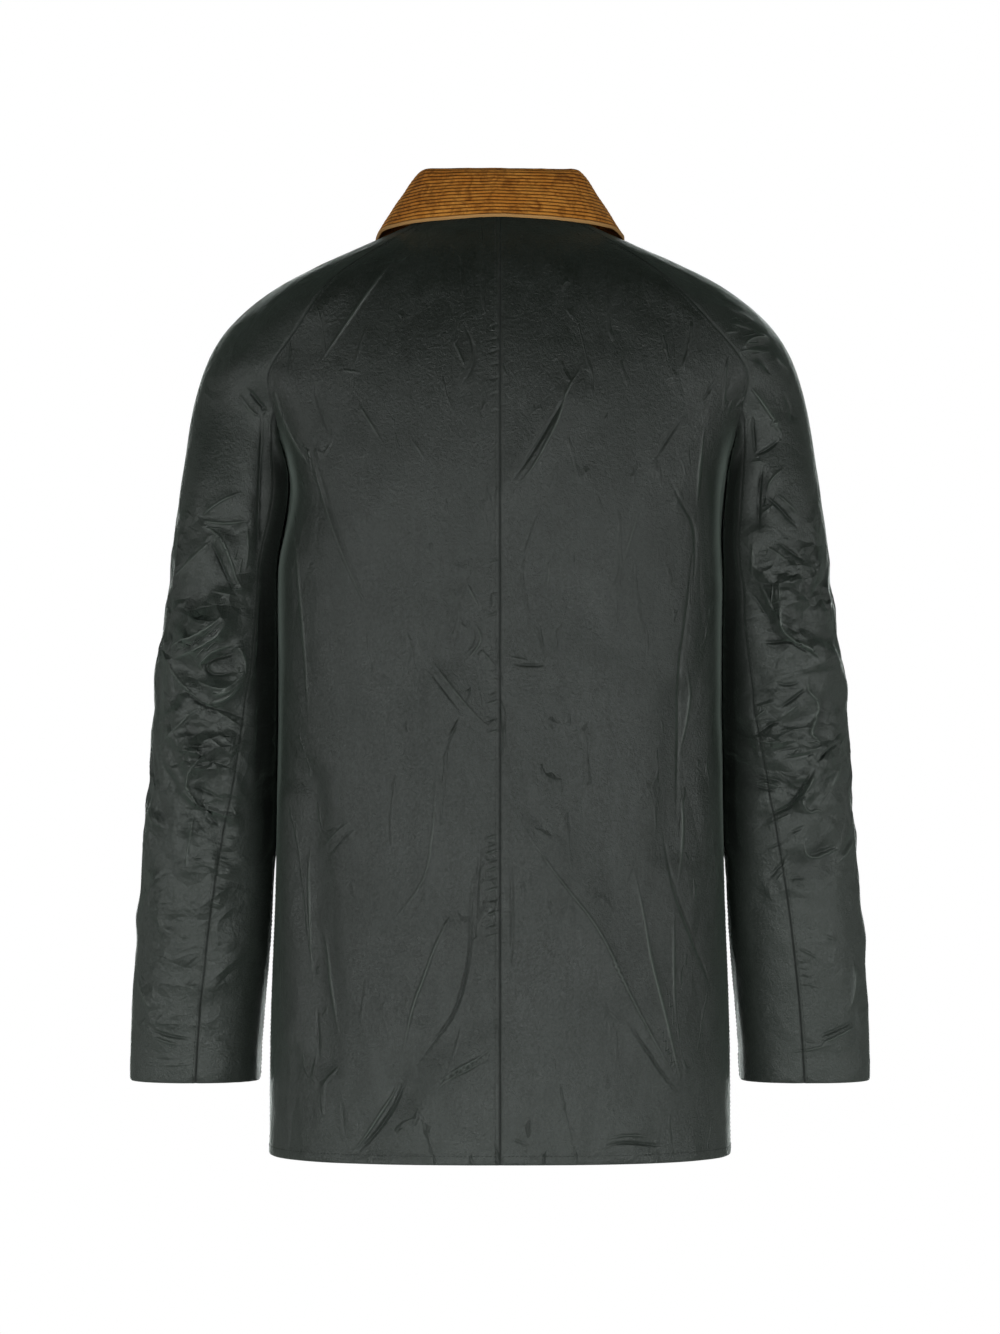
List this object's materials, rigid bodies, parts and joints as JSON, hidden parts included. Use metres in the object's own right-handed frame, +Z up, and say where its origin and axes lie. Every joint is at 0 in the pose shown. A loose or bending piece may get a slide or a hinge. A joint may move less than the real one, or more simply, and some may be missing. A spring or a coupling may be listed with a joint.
{
  "type": "waxed cotton jacket",
  "caption": "Thigh-length waxed cotton jacket with raglan sleeves, a folded corduroy collar, a centre-back seam, plain turned cuffs and hem, and a zip closure, filled out and empty.",
  "frame": {"origin": "base of the neck on the jacket's centre plane, at the height of the neck seam over the shoulders, where a wearer's neck and shoulders hold it up", "axes": "+Z up, +Y towards the jacket's back, +X towards the wearer's left"},
  "size_m": [0.609, 0.3024, 0.8016],
  "materials": {
    "waxed_cotton": "dark green-black waxed cotton with a low uneven sheen",
    "corduroy": "tan-brown cotton corduroy, matt pile, wales across the fall",
    "zip_tape": "black woven tape",
    "zip_metal": "satin brass"
  },
  "bodies": {
    "jacket": {"back_left": "waxed_cotton", "back_right": "waxed_cotton", "front_left": "waxed_cotton", "front_right": "waxed_cotton", "sleeve_top_left": "waxed_cotton", "sleeve_top_right": "waxed_cotton", "sleeve_under_left": "waxed_cotton", "sleeve_under_right": "waxed_cotton", "collar": "corduroy", "zip_tape_left": "zip_tape", "zip_tape_right": "zip_tape", "zip_slider": "zip_metal"},
    "pull_tab": {"zip_pull_tab": "zip_metal"}
  },
  "joints": [
    {"name": "pull_tab_hinge", "type": "hinge", "parent": "jacket", "child": "pull_tab", "pos_m": [0, -0.11569, -0.06851], "axis": [-1, 0, 0], "range_deg": [0, 150]}
  ]
}
